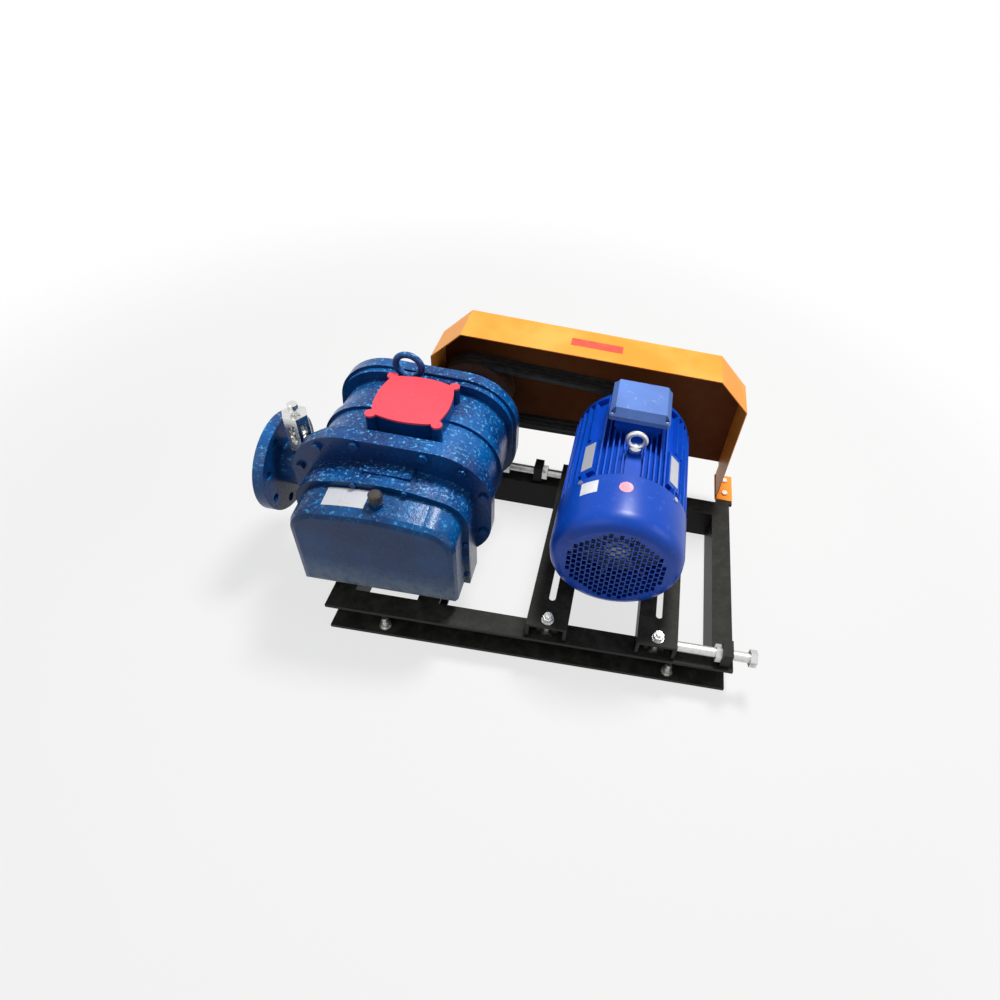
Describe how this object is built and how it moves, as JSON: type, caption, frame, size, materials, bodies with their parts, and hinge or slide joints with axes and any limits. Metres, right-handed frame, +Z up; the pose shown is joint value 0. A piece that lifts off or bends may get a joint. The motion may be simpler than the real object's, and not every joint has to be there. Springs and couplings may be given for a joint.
{
  "type": "roots vacuum pump",
  "caption": "Roots vacuum pump with side discharge flange, driven by V-belts from a finned foot-mounted motor on slide rails, all on a channel skid with a belt guard",
  "frame": {"origin": "centre of the bounding box's footprint, on the floor", "axes": "+X runs along the skid from the pump to the motor, +Y from the gearbox to the belt guard, +Z up"},
  "size_m": [0.998, 0.559, 0.455],
  "materials": {
    "pump_paint": "glossy blue paint over casting",
    "gearbox_paint": "glossy blue paint, dusty low down",
    "motor_paint": "satin royal blue paint",
    "lid_paint": "satin light blue paint",
    "frame_paint": "black paint, dusty",
    "guard_paint": "yellow-orange sheet paint",
    "cover_paint": "flat red transport cover",
    "zinc": "zinc-plated steel",
    "machined_steel": "turned steel",
    "valve_chrome": "chromed",
    "rotor_iron": "machined cast iron",
    "pulley_iron": "dark cast iron",
    "belt_rubber": "black rubber",
    "seal_rubber": "nitrile rubber",
    "cap_plastic": "moulded black cap",
    "fan_plastic": "moulded fan",
    "gland_plastic": "moulded gland",
    "plate_tin": "blank printed plate",
    "copper_winding": "varnished windings and laminations",
    "sight_glass": "oil sight glass"
  },
  "bodies": {
    "skid": {"front_beam": "frame_paint", "rear_beam": "frame_paint", "cross_beams": "frame_paint", "anchor_bolts": "zinc", "welded_lugs": "frame_paint", "jack_lock_nuts": "zinc", "pump_casing": "pump_paint", "front_end_plate": "pump_paint", "rear_end_plate": "pump_paint", "gearbox_housing": "pump_paint", "gearbox_cover": "gearbox_paint", "pump_bearings": "machined_steel", "shaft_seals": "seal_rubber", "bearing_caps": "pump_paint", "end_plate_screws": "pump_paint", "gearbox_screws": "pump_paint", "pump_foot_bolts": "zinc", "pump_eye_bolt": "pump_paint", "oil_sight_glass": "sight_glass", "oil_drain_plug": "zinc", "gearbox_nameplate": "plate_tin", "discharge_spool": "pump_paint", "relief_valve_body": "valve_chrome", "relief_valve_spring": "machined_steel", "guard_shell": "guard_paint", "guard_feet": "guard_paint", "guard_bolts": "zinc", "v_belts": "belt_rubber"},
    "drive_rotor_set": {"drive_rotor": "rotor_iron", "drive_shaft": "machined_steel", "drive_timing_gear": "machined_steel", "pump_pulley": "pulley_iron", "drive_bearing_inners": "machined_steel"},
    "driven_rotor_set": {"driven_rotor": "rotor_iron", "driven_shaft": "machined_steel", "driven_timing_gear": "machined_steel", "driven_bearing_inners": "machined_steel"},
    "motor": {"slide_rails": "frame_paint", "rail_bolts": "zinc", "motor_frame": "motor_paint", "motor_stator": "copper_winding", "motor_end_shields": "motor_paint", "fan_cowl": "motor_paint", "terminal_box": "motor_paint", "terminal_lid": "lid_paint", "cable_gland": "gland_plastic", "motor_eye_bolt": "zinc", "motor_foot_bolts": "zinc", "motor_cover_screws": "zinc", "motor_nameplates": "plate_tin", "motor_bearings": "machined_steel"},
    "motor_rotor_set": {"motor_rotor": "machined_steel", "motor_pulley": "pulley_iron", "cooling_fan": "fan_plastic", "motor_bearing_inners": "machined_steel"},
    "front_jack": {"front_jack": "zinc"},
    "rear_jack": {"rear_jack": "zinc"},
    "relief_valve_stem": {"relief_valve_stem": "valve_chrome"},
    "port_cover": {"port_cover": "cover_paint"},
    "filler_cap": {"filler_cap": "cap_plastic"}
  },
  "joints": [
    {"name": "drive_rotor_spin", "type": "hinge", "parent": "skid", "child": "drive_rotor_set", "pos_m": [-0.183, -0.0185, 0.258], "axis": [0, 1, 0], "continuous": true},
    {"name": "driven_rotor_spin", "type": "hinge", "parent": "skid", "child": "driven_rotor_set", "pos_m": [-0.303, -0.0185, 0.258], "axis": [0, 1, 0], "continuous": true},
    {"name": "motor_tension", "type": "slide", "parent": "skid", "child": "motor", "axis": [1, 0, 0], "range_m": [-0.015, 0.015], "deforming": ["v_belts"]},
    {"name": "motor_rotor_spin", "type": "hinge", "parent": "motor", "child": "motor_rotor_set", "pos_m": [0.189, 0.0325, 0.255], "axis": [0, 1, 0], "continuous": true},
    {"name": "front_jack_turn", "type": "hinge", "parent": "motor", "child": "front_jack", "pos_m": [0.418, -0.2565, 0.102], "axis": [1, 0, 0], "range_deg": [-2161, 2161]},
    {"name": "rear_jack_turn", "type": "hinge", "parent": "motor", "child": "rear_jack", "pos_m": [-0.027, 0.1485, 0.102], "axis": [1, 0, 0], "range_deg": [-2161, 2161]},
    {"name": "relief_valve_lift", "type": "slide", "parent": "skid", "child": "relief_valve_stem", "axis": [0, 0, 1], "range_m": [0, 0.005], "stiffness_N_per_m": 2000, "springref_m": -0.004, "deforming": ["relief_valve_spring"]},
    {"name": "port_cover_lift", "type": "slide", "parent": "skid", "child": "port_cover", "axis": [0, 0, 1], "range_m": [0, 0.2]},
    {"name": "filler_cap_turn", "type": "hinge", "parent": "skid", "child": "filler_cap", "pos_m": [-0.241, -0.2175, 0.345], "axis": [0, 0, 1], "continuous": true}
  ],
  "couplings": [
    {"joint": "driven_rotor_spin", "follows": "drive_rotor_spin", "ratio": -1},
    {"joint": "motor_rotor_spin", "follows": "drive_rotor_spin", "ratio": 1.1429},
    {"joint": "front_jack_turn", "follows": "motor_tension", "rad_per_m": 2513.3},
    {"joint": "rear_jack_turn", "follows": "motor_tension", "rad_per_m": 2513.3}
  ]
}
